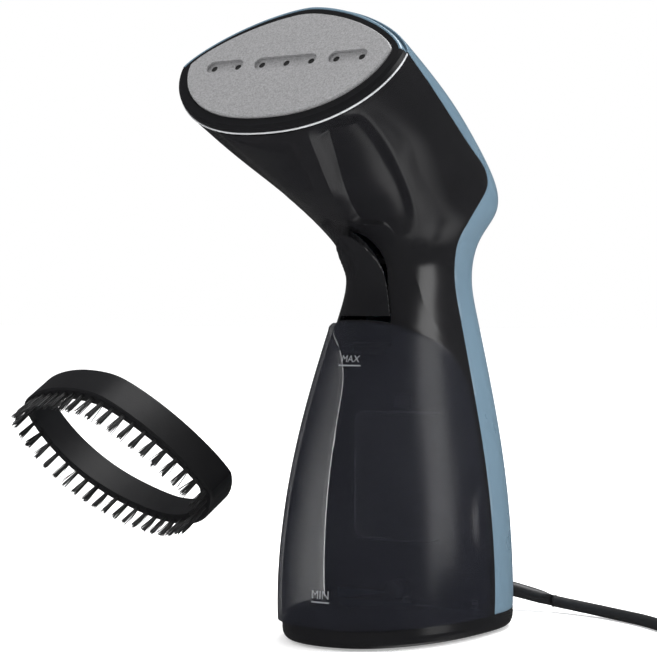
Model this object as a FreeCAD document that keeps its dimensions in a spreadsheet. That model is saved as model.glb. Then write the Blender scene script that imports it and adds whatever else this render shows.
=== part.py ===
import FreeCAD, Part
import math
import os

# Handheld garment steamer with a detachable water tank and a clip-on brush.
# Frame: millimetres, +Z up, front of the steamer towards -Y, width along X, origin on the
# floor plane under the centre of the base. The steamer is mirror-symmetric about X = 0.

V = FreeCAD.Vector
doc = FreeCAD.newDocument("GarmentSteamer")
sheet = doc.addObject("Spreadsheet::Sheet", "Sizes")

SIZES = [
    ("wall_body", 2.4), ("wall_tank", 2.0), ("gap_fit", 0.3), ("cap_height", 9.2),
    ("tank_deck_z", 130.0),
    ("panel_tilt", 54.4), ("panel_y", -86.5), ("panel_z", 250.5),
    ("plate_half_width", 51.5), ("plate_top_m", 27.0), ("plate_low_m", 30.0), ("plate_corner_m", 2.5),
    ("plate_thick", 3.6), ("rim_margin", 5.5), ("rim_depth", 3.0), ("trim_thick", 0.8), ("brow_margin", 3.0),
    ("hole_dia", 3.0), ("hole_pitch", 12.6), ("slot_width", 6.4), ("slot_deep", 1.3),
    ("pivot_y", -20.0), ("pivot_z", 168.0), ("pin_dia", 3.0), ("pin_half", 11.8),
    ("cord_dia", 5.6), ("cord_exit_z", 16.0), ("pad_height", 1.0),
    ("brush_half_length", 60.5), ("brush_depth", 15.0), ("brush_wall", 6.6),
    ("bristle_len", 11.0), ("button_dia", 12.0), ("lens_dia", 4.0), ("screw_head", 5.0),
    ("catch_y", 11.8), ("catch_z", 137.0), ("catch_pin", 1.6), ("pump_bore", 8.2), ("pump_barrel_dia", 11.0),
]
for row, (alias, value) in enumerate(SIZES, start=1):
    sheet.set("A%d" % row, alias)
    sheet.set("B%d" % row, str(value))
    sheet.setAlias("B%d" % row, alias)
doc.recompute()


def size(alias):
    return float(getattr(sheet, alias))


# ---------------------------------------------------------------- body envelope
# Each station joins a front point and a rear point of the side profile: front (y, z), rear (y, z),
# half width, place of the widest line between them, then the fullness (power, root) of the front
# half and of the rear half of the section.
STATIONS = [
    ((-62.5, 9.0), (62.5, 9.0), (43.5, 0.60), (2.3, 0.44), (2.5, 0.42)),
    ((-60.5, 40.0), (60.5, 40.0), (43.5, 0.60), (2.3, 0.44), (2.5, 0.42)),
    ((-54.0, 75.0), (57.5, 75.0), (40.0, 0.60), (2.3, 0.44), (2.5, 0.42)),
    ((-44.0, 110.0), (54.0, 110.0), (33.5, 0.60), (2.3, 0.45), (2.4, 0.43)),
    ((-32.0, 141.0), (49.0, 141.0), (27.0, 0.60), (2.2, 0.45), (2.3, 0.44)),
    ((-26.5, 158.0), (47.0, 161.0), (24.0, 0.60), (2.2, 0.46), (2.2, 0.46)),
    ((-29.0, 171.0), (50.0, 179.0), (27.5, 0.60), (2.1, 0.48), (2.1, 0.48)),
    ((-37.0, 180.0), (56.0, 193.0), (36.0, 0.60), (2.0, 0.50), (2.0, 0.50)),
    ((-49.0, 187.0), (51.0, 208.0), (41.0, 0.59), (2.0, 0.50), (2.0, 0.52)),
    ((-67.0, 195.0), (27.5, 228.0), (45.5, 0.58), (2.0, 0.51), (1.9, 0.55)),
    ((-83.5, 205.5), (-8.5, 247.5), (52.5, 0.57), (2.1, 0.53), (1.8, 0.60)),
    ((-98.0, 213.5), (-46.0, 268.0), (55.5, 0.57), (2.2, 0.55), (1.7, 0.68)),
    ((-104.0, 219.5), (-64.0, 275.0), (57.0, 0.577), (2.3, 0.56), (1.6, 0.74)),
]
HALF_POINTS = 13


def half_section(front, rear, width, place, fullness, side, inset):
    """Points of the front (side -1) or rear (side +1) half, from +x to -x."""
    along = V(0, rear[0] - front[0], rear[1] - front[1])
    span = along.Length
    along.normalize()
    middle = V(0, front[0], front[1]) + along * (place * span)
    depth = (place if side < 0 else 1 - place) * span - inset
    power, root = fullness
    points = []
    for k in range(HALF_POINTS):
        c = math.cos(math.pi * k / (HALF_POINTS - 1))
        rise = max(0.0, 1 - abs(c) ** power) ** root
        points.append(V((width - inset) * c, 0, 0) + middle + along * (side * depth * rise))
    return points


def through(points):
    curve = Part.BSplineCurve()
    knots = [k / (len(points) - 1) for k in range(len(points))]
    curve.interpolate(Points=points, Parameters=knots)
    return curve.toShape()


def station_wire(station, inset=0.0):
    front, rear, (width, place), full_front, full_rear = station
    fore = half_section(front, rear, width, place, full_front, -1, inset)
    aft = half_section(front, rear, width, place, full_rear, 1, inset)
    return Part.Wire([through(fore), through(list(reversed(aft)))])


def track(pairs):
    """A smooth curve over the stations of one pair of values."""
    curve = Part.BSplineCurve()
    points = [V(a, b, k) for k, (a, b) in enumerate(pairs)]
    curve.interpolate(Points=points, Parameters=[float(k) for k in range(len(pairs))])
    return lambda at: (curve.value(at).x, curve.value(at).y)


TRACKS = [track([station[field] for station in STATIONS]) for field in range(5)]
STEPS_BETWEEN = 4


def envelope(inset=0.0, last=len(STATIONS) - 1):
    """The closed body form from the base up to station number last."""
    wires = []
    for k in range(last * STEPS_BETWEEN + 1):
        wires.append(station_wire([value(k / STEPS_BETWEEN) for value in TRACKS], inset))
    return Part.makeLoft(wires, True, False)


def in_yz(points, smooth_count=0):
    """A face in the plane X = 0 through the points; the first smooth_count lie on one smooth curve."""
    edges = []
    if smooth_count:
        curve = Part.BSplineCurve()
        curve.interpolate([V(0, *p) for p in points[:smooth_count]])
        edges.append(curve.toShape())
    ring = points[max(0, smooth_count - 1):] + points[:1]
    for a, b in zip(ring, ring[1:]):
        edges.append(Part.LineSegment(V(0, *a), V(0, *b)).toShape())
    return Part.Face(Part.Wire(edges))


def across(face, half=90.0):
    """Extrude a YZ face to both sides of the mirror plane."""
    moved = face.copy()
    moved.translate(V(-half, 0, 0))
    return moved.extrude(V(2 * half, 0, 0))


def box(x, y, z):
    """A box from three (low, high) pairs."""
    return Part.makeBox(x[1] - x[0], y[1] - y[0], z[1] - z[0], V(x[0], y[0], z[0]))


def rod(dia, start, end):
    start, end = V(*start), V(*end)
    return Part.makeCylinder(dia / 2, (end - start).Length, start, end - start)


def swept(points, dia, radii):
    """A round tube along straight runs joined by tangent arcs of the given radii."""
    edges, last = [], V(*points[0])
    for before, corner, after, radius in zip(points, points[1:], points[2:], radii):
        corner = V(*corner)
        back = (V(*before) - corner).normalize()
        on = (V(*after) - corner).normalize()
        half_turn = (math.pi - back.getAngle(on)) / 2
        reach = radius * math.tan(half_turn)
        first, final = corner + back * reach, corner + on * reach
        inward = (back + on).normalize()
        middle = corner + inward * (radius / math.cos(half_turn) - radius)
        edges.append(Part.LineSegment(last, first).toShape())
        edges.append(Part.Arc(first, middle, final).toShape())
        last = final
    edges.append(Part.LineSegment(last, V(*points[-1])).toShape())
    path = Part.Wire(edges)
    start = V(*points[0])
    disc = Part.Wire(Part.makeCircle(dia / 2, start, V(*points[1]) - start))
    return path.makePipeShell([disc], True, True), path.Length


NODES = []


def keep(feature, name, placement=None):
    """Name a finished feature as one of the model's pieces."""
    feature.Label = name
    if placement is not None:
        feature.Placement = placement
    NODES.append(feature)
    return feature


def add(name, shape, placement=None):
    """A freeform piece, held as its finished shape."""
    feature = doc.addObject("Part::Feature", name)
    feature.Shape = shape
    return keep(feature, name, placement)


def bind(feature, **sizes):
    """Drive a feature's sizes from the sheet."""
    for prop, formula in sizes.items():
        feature.setExpression(prop, formula)
    return feature


def block(x, y, z):
    """A parametric box from three (low, high) pairs."""
    feature = doc.addObject("Part::Box", "block")
    feature.Length, feature.Width, feature.Height = x[1] - x[0], y[1] - y[0], z[1] - z[0]
    feature.Placement.Base = V(x[0], y[0], z[0])
    return feature


def bar(dia, start, end):
    """A parametric round bar between two points."""
    start, end = V(*start), V(*end)
    feature = doc.addObject("Part::Cylinder", "bar")
    feature.Radius, feature.Height = dia / 2, (end - start).Length
    feature.Placement = FreeCAD.Placement(start, FreeCAD.Rotation(V(0, 0, 1), end - start))
    return feature


def joined(name, *features):
    feature = doc.addObject("Part::MultiFuse", name)
    feature.Shapes = list(features)
    return feature


def cut_from(name, base, tool):
    feature = doc.addObject("Part::Cut", name)
    feature.Base, feature.Tool = base, tool
    return feature


def group_of(name, *features):
    feature = doc.addObject("Part::Compound", name)
    feature.Links = list(features)
    return feature


def turned(name, profile, start, axis, placement=None):
    """A turned body: its profile is (radius, place along the axis) points round a closed line."""
    body = doc.addObject("PartDesign::Body", name)
    sketch = body.newObject("Sketcher::SketchObject", name + "_profile")
    sketch.Placement.Rotation = FreeCAD.Rotation(V(1, 0, 0), 90)
    for (r0, s0), (r1, s1) in zip(profile, profile[1:] + profile[:1]):
        sketch.addGeometry(Part.LineSegment(V(r0, s0, 0), V(r1, s1, 0)))
    turn = body.newObject("PartDesign::Revolution", name + "_turn")
    turn.Profile = sketch
    turn.ReferenceAxis = (sketch, ["V_Axis"])
    turn.Angle = 360
    stand = FreeCAD.Placement(V(*start), FreeCAD.Rotation(V(0, 0, 1), V(*axis)))
    if placement is not None:
        stand = placement.multiply(stand)
    return keep(body, name, stand)


def tube(name, outer, inner, length, start, axis):
    """A turned sleeve of the given diameters."""
    bore, face = inner / 2, outer / 2
    return turned(name, [(bore, 0), (face, 0), (face, length), (bore, length)], start, axis)


# ---------------------------------------------------------------- dividing curves in the side view
# Seam between the dark front housing and the rear cover; it follows the widest line of the head.
SEAM = [(16.0, 0.0), (15.2, 20.0), (14.2, 60.0), (13.9, 100.0), (13.9, 140.0), (13.5, 158.0), (11.6, 169.5),
        (8.4, 179.0), (6.8, 186.5), (8.4, 193.5), (12.4, 200.5), (12.8, 205.6), (9.0, 210.2), (-2.5, 215.0),
        (-26.4, 223.7), (-47.0, 232.8), (-64.1, 242.3), (-79.8, 250.9), (-93.0, 258.6)]
# Top of the water tank from its front edge back to its rear wall.
TANK_TOP = [(-75.0, 141.6), (-45.0, 141.4), (-31.0, 140.6), (-24.0, 138.4), (-15.5, 135.0), (-5.0, 129.6),
            (2.0, 122.5), (6.4, 113.0), (7.2, 103.0)]


def shifted(points, dy, dz):
    return [(y + dy, z + dz) for y, z in points]


def behind_seam(gap):
    corners = [(-93.0, 330.0), (150.0, 330.0), (150.0, 0.0)]
    return across(in_yz(shifted(SEAM, gap, gap * 0.6) + corners, len(SEAM)))


def before_seam(gap):
    return across(in_yz(shifted(SEAM, -gap, -gap * 0.6) + [(-200.0, 258.0), (-200.0, 0.0)], len(SEAM)))


def tank_space(dy, dz, floor):
    """Everything in front of and below the tank's top line moved by dy, dz."""
    top = shifted(TANK_TOP, dy, dz)
    return across(in_yz(top + [(top[-1][0], floor), (top[0][0], floor)], len(top)))


def built_space(dy, dz, floor):
    """The complement of tank_space: behind and above the same line."""
    top = shifted(TANK_TOP, dy, dz)
    corners = [(top[-1][0], floor), (150.0, floor), (150.0, 320.0), (-200.0, 320.0), (-200.0, top[0][1])]
    return across(in_yz(top + corners, len(top)))


# ---------------------------------------------------------------- head frame
# Local x is the width, m runs up the panel face, n points out of it.
TILT = size("panel_tilt")
HEAD = FreeCAD.Placement(V(0, size("panel_y"), size("panel_z")), FreeCAD.Rotation(V(1, 0, 0), TILT))


def panel_half(half_width, rise, corner, power, root, side):
    points = []
    for k in range(17):
        c = math.cos(math.pi * k / 16)
        points.append(V(half_width * c, corner + side * rise * max(0.0, 1 - abs(c) ** power) ** root, 0))
    return points


def panel_outline(margin, n=0.0):
    """Closed eye-shaped outline of the steam panel, grown by margin, at height n."""
    corner = size("plate_corner_m")
    width = size("plate_half_width") + margin
    top = panel_half(width, size("plate_top_m") - corner + margin, corner, 1.6, 0.76, 1)
    low = panel_half(width, size("plate_low_m") + corner + margin, corner, 2.3, 0.56, -1)
    wire = Part.Wire([through(top), through(list(reversed(low)))])
    wire.translate(V(0, 0, n))
    return wire


def panel_slab(margin, n_low, n_high):
    return Part.Face(panel_outline(margin, n_low)).extrude(V(0, 0, n_high - n_low))


def panel_taper(margins, levels):
    """Solid through outlines of the given margins at the given levels."""
    return Part.makeLoft([panel_outline(m, n) for m, n in zip(margins, levels)], True, True)


def upper_part(grow=0.0):
    """The space above the corners of the panel, in the head's own frame."""
    return box((-90, 90), (size("plate_corner_m") - grow, 90), (-30, 30))


# ---------------------------------------------------------------- steam head
def make_steam_plate():
    thick = size("plate_thick")
    plate = panel_taper([0.0, 0.0, -0.5], [-thick, -0.5, 0.0])
    pitch, width, deep = size("hole_pitch"), size("slot_width"), size("slot_deep")
    for middle, holes in ((-2.5, 2), (0.0, 3), (2.5, 2)):
        reach = (holes - 1) * pitch / 2
        pocket = box((middle * pitch - reach, middle * pitch + reach), (-width / 2, width / 2), (-deep, 1.0))
        for end in (-reach, reach):
            x = middle * pitch + end
            pocket = pocket.fuse(rod(width, (x, 0, -deep), (x, 0, 1.0)))
        plate = plate.cut(pocket)
    for k in range(-3, 4):
        plate = plate.cut(rod(size("hole_dia"), (k * pitch, 0, -thick - 1), (k * pitch, 0, 1)))
    return plate


def make_head_front():
    thick, margin, depth = size("plate_thick"), size("rim_margin"), size("rim_depth")
    gap, trim = size("gap_fit"), size("trim_thick")
    back = -1.0 - depth
    rim = panel_taper([margin, margin - 0.3, margin - 1.6], [back, -2.0, -1.0])
    rim = rim.fuse(panel_slab(margin - 3.2, back - 4.0, back))
    rim = rim.cut(panel_slab(gap, -thick - 0.2, 2.0)).cut(panel_slab(-3.0, back - 6.0, 2.0))
    brow = panel_slab(margin + 9.0, back - 9.0, 2.0).cut(panel_slab(size("brow_margin"), back - 12.0, 4.0))
    rim = rim.cut(brow.common(upper_part()))
    ring = panel_slab(margin + 0.25, back - trim, back - 0.02).cut(panel_slab(margin - 3.0, back - 3.0, 0.0))
    ring = ring.cut(upper_part())
    gasket = panel_slab(-0.4, -thick - 0.2, -thick).cut(panel_slab(-3.0, -thick - 1.0, 0.0))
    add("steam_plate", make_steam_plate(), HEAD)
    add("head_bezel", rim, HEAD)
    add("trim_ring", ring, HEAD)
    add("plate_gasket", gasket, HEAD)


def make_boiler():
    face = -size("plate_thick")
    chamber = panel_slab(-4.0, -14.0, face).cut(panel_slab(-7.0, -11.0, 0.0))
    chamber = chamber.cut(rod(4.0, (26, -6, -16), (26, -6, -8)))
    block = panel_slab(-8.0, -22.0, -14.0).cut(rod(4.0, (26, -6, -24), (26, -6, -12)))
    inlet = rod(6.0, (26, -6, -34), (26, -6, -22)).cut(rod(3.6, (26, -6, -36), (26, -6, -20)))
    loop_points = [(34, 12, -36), (34, 12, -25.3), (-20, 12, -25.3), (-20, -12, -25.3), (12, -12, -25.3),
                   (12, -12, -36)]
    heater, _ = swept(loop_points, 6.5, [6.0, 11.0, 11.0, 6.0])
    add("steam_chamber", chamber, HEAD)
    add("boiler_block", block.fuse(inlet), HEAD)
    add("heating_element", heater, HEAD)
    disc = [(0, 0), (7.5, 0), (7.5, 7), (4.5, 7), (4.5, 10), (0, 10)]
    turned("thermostat", disc, (-8, 0, -22), (0, 0, -1), HEAD)
    capsule = [(0, 0), (2.3, 0), (2.3, 16), (0.6, 16), (0.6, 20), (0, 20)]
    turned("thermal_fuse", capsule, (4, 0, -24.3), (1, 0, 0), HEAD)
    screws = []
    for x, m in ((-37.5, 3.0), (37.5, 3.0), (0.0, 17.5), (0.0, -21.0)):
        screws.append(bind(bar(5.0, (x, m, -24.4), (x, m, -22.0)), Radius="Sizes.screw_head / 2"))
    keep(group_of("boiler_screws", *screws), "boiler_screws", HEAD)


# ---------------------------------------------------------------- housings
def head_cut():
    """Half-space in front of the joint between housing and trim ring."""
    slab = Part.makeBox(260, 260, 60, V(-130, -130, -1.0 - size("rim_depth") - size("trim_thick")))
    slab.Placement = HEAD
    return slab


def head_brow():
    """The rear cover's front edge, which frames the panel's upper half."""
    low = -1.2 - size("rim_depth") - size("trim_thick")
    lip = panel_taper([6.0, 6.0, 5.2], [low, -1.8, -0.9])
    lip = lip.cut(panel_slab(size("brow_margin") + size("gap_fit"), low - 1, 2)).common(upper_part(-0.2))
    lip.Placement = HEAD
    return lip


TRIGGER = [
    # z, half width, front y, side y, back y
    (145.0, 13.4, -30.4, -24.2, -13.0),
    (150.0, 12.4, -28.8, -23.0, -13.0),
    (157.0, 11.0, -27.2, -22.6, -13.0),
    (163.0, 10.4, -29.0, -24.0, -13.0),
    (169.0, 9.4, -32.8, -27.4, -14.5),
    (174.0, 7.0, -36.8, -32.6, -20.0),
    (178.0, 3.0, -40.0, -38.4, -31.0),
]


def trigger_solid(grow=0.0, forward=0.0, backward=0.0, rise=0.0):
    wires = []
    for z, half, front, side, back in TRIGGER:
        half += grow
        front -= forward
        side -= forward
        back += backward
        left, right = V(-half, side, z + rise), V(half, side, z + rise)
        arc = Part.Arc(left, V(0, front, z + rise), right).toShape()
        rest = Part.makePolygon([right, V(half, back, z + rise), V(-half, back, z + rise), left])
        wires.append(Part.Wire([arc] + rest.Edges))
    return Part.makeLoft(wires, True, False)


def make_housings():
    wall, gap = size("wall_body"), size("gap_fit")
    outer = envelope()
    inner = envelope(wall)
    floor = size("cap_height") + gap
    front = outer.common(before_seam(gap / 2)).common(built_space(gap / 2, gap / 2, floor))
    hollow = inner.common(built_space(wall + gap / 2, wall + gap / 2, floor - 5))
    front = front.cut(hollow).cut(head_cut())
    # boss on the wall behind the tank
    boss = box((-18.5, 18.5), (-1.5, 8.0), (43.5, 97.5))
    corners = [e for e in boss.Edges if abs(e.tangentAt(e.FirstParameter).y) > 0.9]
    front = front.fuse(boss.makeFillet(4.0, corners)).cut(box((-16.5, 16.5), (0.5, 12.0), (45.5, 95.5)))
    # lugs that carry the trigger pin
    for side in (-1, 1):
        lug = box((min(side * 10.9, side * 16), max(side * 10.9, side * 16)), (-25, -15), (162, 172))
        front = front.fuse(lug.common(outer))
    trigger_way = trigger_solid(0.5, 20.0, 1.0, 0.6).fuse(trigger_solid(0.5, 20.0, 1.0, -1.4))
    pin = rod(size("pin_dia"), (-size("pin_half"), size("pivot_y"), size("pivot_z")),
              (size("pin_half"), size("pivot_y"), size("pivot_z")))
    front = front.cut(trigger_way).cut(pin)
    # scooped flanks of the head
    for side in (-1, 1):
        scoop = Part.makeSphere(1.0)
        stretch = FreeCAD.Matrix()
        stretch.scale(7.0, 48.0, 10.5)
        scoop = scoop.transformGeometry(stretch)
        turn = FreeCAD.Rotation(side * 15.0, 0, -27.0)
        scoop.Placement = FreeCAD.Placement(V(side * 32.5, -66.0, 194.0), turn)
        front = front.cut(scoop)
    # passages: water nipple, catch nose
    front = front.cut(rod(5.0, (0, 4, 19), (0, 20, 19)))
    front = front.cut(box((-5.5, 5.5), (4.0, 12.0), (100.0, 109.0)))
    rear = outer.common(behind_seam(gap / 2)).cut(inner).cut(head_cut()).fuse(head_brow())
    rear = rear.cut(box((-100, 100), (-100, 100), (0, floor)))
    rear = rear.cut(rod(size("button_dia") + 0.6, (0, 40, 140), (0, 60, 140)))
    rear = rear.cut(rod(4.0, (0, 40, 122), (0, 60, 122)))
    rear = rear.cut(rod(11.0, (0, 40, size("cord_exit_z")), (0, 75, size("cord_exit_z"))))
    add("front_housing", front)
    add("rear_cover", rear)


def make_base():
    top, wall = size("cap_height"), size("wall_body")
    base = STATIONS[0]

    def level(inset, z):
        wire = station_wire(base, inset)
        wire.translate(V(0, 0, z - 9.0))
        return wire

    profile = [(3.6, 1.0), (2.0, 1.5), (0.9, 2.5), (0.2, 4.2), (0.0, 5.8), (0.0, top)]
    cap = Part.makeLoft([level(*p) for p in profile], True, True)
    well = Part.makeLoft([level(wall + 3.4, 3.4), level(wall, 6.2), level(wall, top + 1)], True, True)
    web = box((-60, 60), (3.0, 7.5), (0, top))
    cap = cap.cut(well.cut(web))
    add("base_cover", cap)
    pad = Part.Face(level(9.0, 0.0)).extrude(V(0, 0, size("pad_height")))
    add("base_pad", pad)


def make_tank():
    wall, gap = size("wall_tank"), size("gap_fit")
    floor = size("cap_height") + gap
    deck = size("tank_deck_z")
    body = envelope(0, 6).common(tank_space(-gap / 2, -gap / 2, floor))
    inside = envelope(wall, 6).common(tank_space(-wall - gap / 2, -wall - gap / 2, floor + wall))
    inside = inside.cut(box((-60, 60), (-200, 60), (deck - wall, 200)))
    inside = inside.cut(box((-21.2, 21.2), (-4.4, 20), (41.0, 100.2)))
    inside = inside.cut(box((-8.0, 8.0), (1.2, 20), (100.0, 110.0)))
    inside = inside.cut(rod(12.0, (0, 1.0, 19), (0, 10, 19)))
    well = envelope(wall, 6).common(box((-60, 60), (-100, -7.0), (deck, 150)))
    tank = body.cut(inside).cut(well)
    tank = tank.cut(box((-19.1, 19.1), (-2.2, 20), (42.9, 98.1)))
    tank = tank.cut(box((-5.9, 5.9), (5.2, 20), (100.4, 108.6)))
    tank = tank.cut(rod(9.0, (0, 2.6, 19), (0, 10, 19))).cut(rod(5.0, (0, -5, 19), (0, 5, 19)))
    tank = tank.cut(rod(14.2, (0, -21, deck - 5), (0, -21, deck + 1)))
    for side in (-1, 1):
        grip = Part.makeSphere(1.0)
        stretch = FreeCAD.Matrix()
        stretch.scale(1.9, 12.0, 20.0)
        grip = grip.transformGeometry(stretch)
        grip.translate(V(side * 43.6, 7.5, 50.0))
        tank = tank.cut(grip)
    add("water_tank", tank)
    seal = rod(9.0, (0, 2.6, 19), (0, 7.0, 19)).cut(rod(5.4, (0, 3.6, 19), (0, 10, 19)))
    seal = seal.cut(box((-1.6, 1.6), (0, 5), (18.9, 19.1)))
    add("tank_outlet_seal", seal)
    cup = [(0, 0), (4, 0), (4, 4), (2.5, 4), (2.5, 1.4), (0, 1.4)]
    turned("tank_strainer", cup, (0, -3.0, 19), (0, 1, 0))
    bung = rod(18.0, (0, -21, deck), (0, -21, deck + 1.6))
    bung = bung.fuse(rod(14.2, (0, -21, deck - 3.5), (0, -21, deck)))
    bung = bung.cut(rod(9.0, (0, -21, deck - 5), (0, -21, deck - 1.5)))
    bung = bung.fuse(box((-4.0, 4.0), (-14, -9.0), (deck, deck + 1.2)))
    add("tank_filler_bung", bung)


# ---------------------------------------------------------------- trigger, switch, catch, button
def make_controls():
    pivot_y, pivot_z, pin_dia = size("pivot_y"), size("pivot_z"), size("pin_dia")
    trigger = trigger_solid().cut(rod(pin_dia + 0.1, (-20, pivot_y, pivot_z), (20, pivot_y, pivot_z)))
    hollow = box((-7.6, 7.6), (-24.0, 0.0), (147.0, 162.0))
    trigger = trigger.cut(hollow).fuse(box((-2.0, 2.0), (-25.0, -13.0), (150.0, 154.0)))
    spring_room = box((-5.5, 5.5), (-26.0, 0.0), (162.0, 174.5))
    trigger = trigger.cut(spring_room)
    add("trigger", trigger)
    pin = bar(pin_dia, (-size("pin_half"), pivot_y, pivot_z), (size("pin_half"), pivot_y, pivot_z))
    keep(bind(pin, Radius="Sizes.pin_dia / 2"), "trigger_pin")
    coil = rod(6.4, (-4.0, pivot_y, pivot_z), (4.0, pivot_y, pivot_z))
    coil = coil.cut(rod(pin_dia, (-20, pivot_y, pivot_z), (20, pivot_y, pivot_z)))
    for x in (-3.4, 3.4):
        coil = coil.fuse(rod(1.1, (x, pivot_y + 2.6, pivot_z), (x, pivot_y + 9.0, pivot_z - 6.0)))
    add("trigger_spring", coil)
    switch = joined("micro_switch", block((-3.2, 3.2), (-8.0, -1.5), (145.0, 158.0)),
                    block((-1.5, 1.5), (-9.6, -8.0), (151.0, 153.0)))
    keep(switch, "micro_switch")
    hinge_y, hinge_z = size("catch_y"), size("catch_z")
    leaf = block((-4.5, 4.5), (hinge_y - 0.4, hinge_y + 0.4), (101.6, hinge_z + 0.8))
    nose = block((-4.5, 4.5), (6.2, hinge_y - 0.4), (101.6, 107.4))
    pins = bind(bar(1.6, (-7.0, hinge_y, hinge_z), (7.0, hinge_y, hinge_z)), Radius="Sizes.catch_pin / 2")
    keep(joined("tank_catch", leaf, nose, pins), "tank_catch")
    beam = box((-40, 40), (10.0, 16.0), (135.0, 140.0)).common(envelope(size("wall_body") + 0.3, 6))
    beam = beam.cut(box((-5.0, 5.0), (10.8, 12.8), (130, 138.4)))
    beam = beam.cut(rod(size("catch_pin") + 0.1, (-7.2, hinge_y, hinge_z), (7.2, hinge_y, hinge_z)))
    add("catch_bar", beam)
    half = size("button_dia") / 2
    button = [(0, 0), (7.5, 0), (7.5, 1.2), (half, 1.2), (half, 8.4), (0, 8.4)]
    turned("power_button", button, (0, 42.2, 140), (0, 1, 0))
    keep(bind(bar(4.0, (0, 38.2, 122), (0, 52.6, 122)), Radius="Sizes.lens_dia / 2"), "indicator_lens")
    board = block((-14, 14), (35.0, 36.6), (112.0, 158.0))
    holes = [bar(2.6, (x, 30, z), (x, 40, z)) for x in (-11, 11) for z in (115, 155)]
    board = cut_from("drilled_board", board, group_of("board_holes", *holes))
    keep(joined("circuit_board", board, block((4.0, 13.0), (27.0, 35.0), (119.0, 131.0)),
                block((-13.0, -4.0), (29.0, 35.0), (121.0, 136.0))), "circuit_board")
    tact = joined("button_switch", block((-3.0, 3.0), (36.6, 39.4), (137.0, 143.0)),
                  bar(3.4, (0, 39.4, 140), (0, 40.6, 140)))
    keep(tact, "button_switch")
    keep(bar(5.0, (0, 36.6, 122), (0, 38.2, 122)), "indicator_lamp")


# ---------------------------------------------------------------- pump and water line
def make_pump():
    y, low, high = 31.0, 30.0, 62.0
    up, bore, port = (0, 0, 1), size("pump_bore") / 2, 1.5
    wall, end = size("pump_barrel_dia") / 2, high + 10
    turned("pump_barrel", [(port, low - 4), (wall, low - 4), (wall, end), (port, end), (port, high + 6),
                           (bore, high + 6), (bore, low), (port, low)], (0, y, 0), up)
    tube("pump_coil", 25.0, 2 * wall, high - low - 8, (0, y, low + 4), up)
    core = group_of("yoke_room", block((-13, 13), (y - 20, y + 13), (low + 4, high - 4)),
                    bar(2 * wall, (0, y, 0), (0, y, 100)))
    keep(cut_from("pump_yoke", block((-15, 15), (y - 10, y + 15), (low + 2, high - 2)), core), "pump_yoke")
    tube("pump_plunger", 2 * bore - 0.2, 2 * port, high - low - 14, (0, y, low + 6), up)
    tube("pump_spring", 7.2, 5.2, 13.6, (0, y, high - 7.8), up)
    suction, _ = swept([(0, 17.0, 19), (0, y, 19), (0, y, low - 4)], 5.0, [5.0])
    add("suction_hose", suction)
    tube("water_nipple", 5.0, 3.0, 12.4, (0, 4.6, 19), (0, 1, 0))
    top = (0, y, high + 10)
    inlet = HEAD.multVec(V(26, -6, -34))
    toward = HEAD.Rotation.multVec(V(0, 0, -1))
    bend_b = inlet + toward * 14
    feed, _ = swept([top, (0, y, 150), (2, 22, 178), tuple(bend_b), tuple(inlet)], 5.0, [30.0, 30.0, 9.0])
    add("steam_feed_hose", feed)


# ---------------------------------------------------------------- screws
def make_screws():
    screws = []
    for x in (-19.0, 19.0):
        head = bind(bar(5.0, (x, 40, 4.0), (x, 40, 7.0)), Radius="Sizes.screw_head / 2")
        screws.append(joined("cover_screw", head, bar(3.0, (x, 40, 7.0), (x, 40, 16.0))))
    keep(group_of("cover_screws", *screws), "cover_screws")


# ---------------------------------------------------------------- cord, strain relief, coil, plug
CORD = size("cord_dia")
SLEEVE = [V(0, 60.0, 16.0), V(0, 89.0, 13.0), V(34.0, 91.0, 5.4)]
SLEEVE_ROOT = 9.0
ROUTE = [(34.0, 91.0, 5.4), (52.0, 90.0, 3.7), (71.0, 84.0, 2.9), (89.0, 75.0, 2.9), (105.0, 63.0, 2.9),
         (118.0, 50.0, 2.9), (131.0, 38.5, 2.9)]
TAIL = [(181.0, 74.0, 8.0), (184.0, 92.0, 4.4), (184.0, 110.0, 3.4), (178.0, 126.0, 4.5), (165.0, 137.0, 7.0),
        (150.0, 142.0, 10.0)]
COIL_CENTRE = (150.5, 62.0)
COIL_RADIUS = 31.0
COIL_HALF_WIDTH = 8.8
COIL_HEIGHT = 23.5


def sleeve_point(t):
    a, b, c = SLEEVE
    return a * ((1 - t) ** 2) + b * (2 * t * (1 - t)) + c * (t * t)


def sleeve_heading(t):
    a, b, c = SLEEVE
    return (b - a) * (1 - t) + (c - b) * t


def lead(name, route):
    """One free stretch of the cord: each arc is as large as its two runs allow."""
    radii = []
    for a, b, c in zip(route, route[1:], route[2:]):
        one, two = V(*b) - V(*a), V(*c) - V(*b)
        radii.append(0.45 * min(one.Length, two.Length) / math.tan(one.getAngle(two) / 2))
    tube, length = swept(route, CORD, radii)
    expected = math.pi * CORD * CORD / 4 * length
    print(name, "length %.1f, radii" % length, [round(r, 1) for r in radii])
    print("   volume %.0f, section times length %.0f" % (tube.Volume, expected))
    add(name, tube)


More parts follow.
